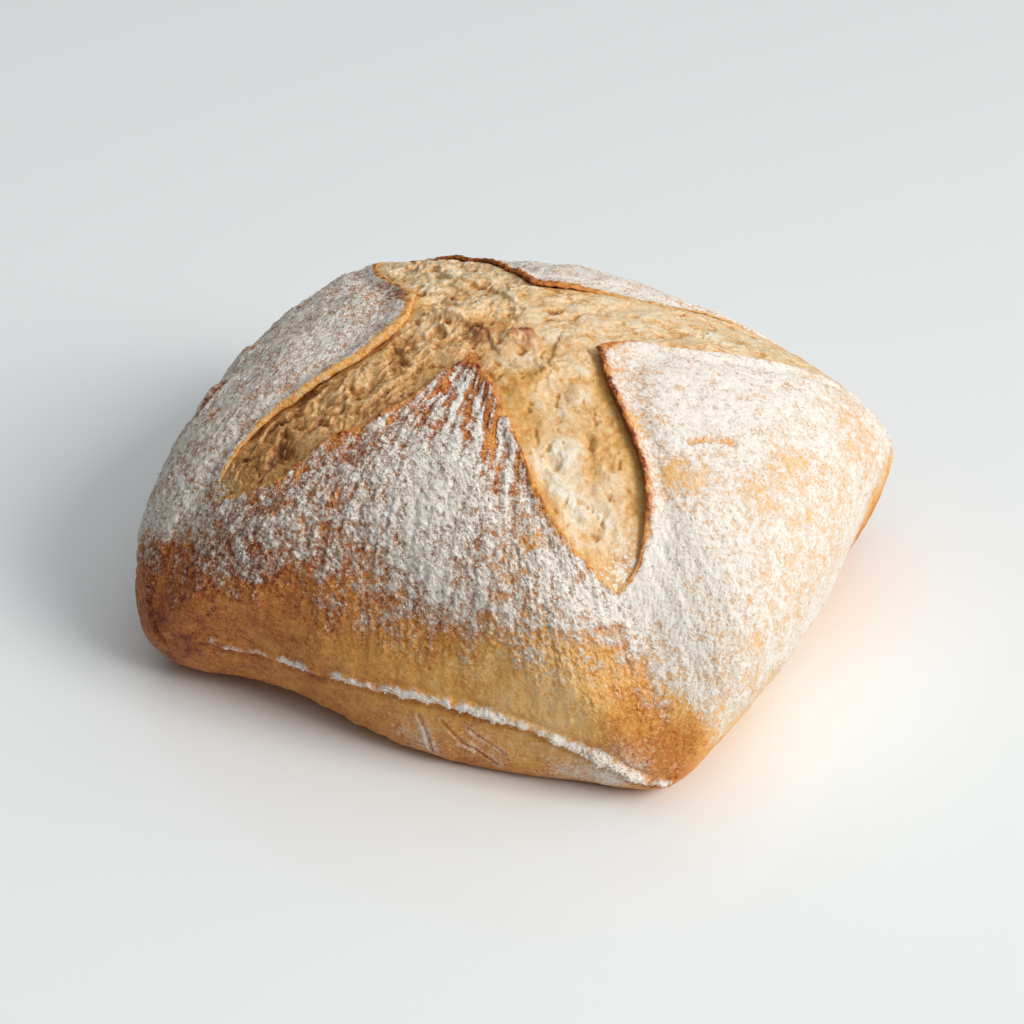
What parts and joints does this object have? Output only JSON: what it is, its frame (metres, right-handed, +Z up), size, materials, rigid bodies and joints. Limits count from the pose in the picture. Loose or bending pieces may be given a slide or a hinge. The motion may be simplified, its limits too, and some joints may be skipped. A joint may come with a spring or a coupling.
{
  "type": "sourdough loaf",
  "caption": "Square hearth-baked sourdough loaf with a burst cross cut into its floured crust, resting on its flat base.",
  "frame": {"origin": "on the table under the middle of the loaf's bounding box", "axes": "+Z up; -Y faces the long side with the shaping seam; the arms of the cross run to the four corners"},
  "size_m": [0.1856, 0.1666, 0.0959],
  "materials": {
    "crust": "matte baked crust with flour"
  },
  "bodies": {
    "root": {"loaf": "crust"}
  },
  "joints": []
}
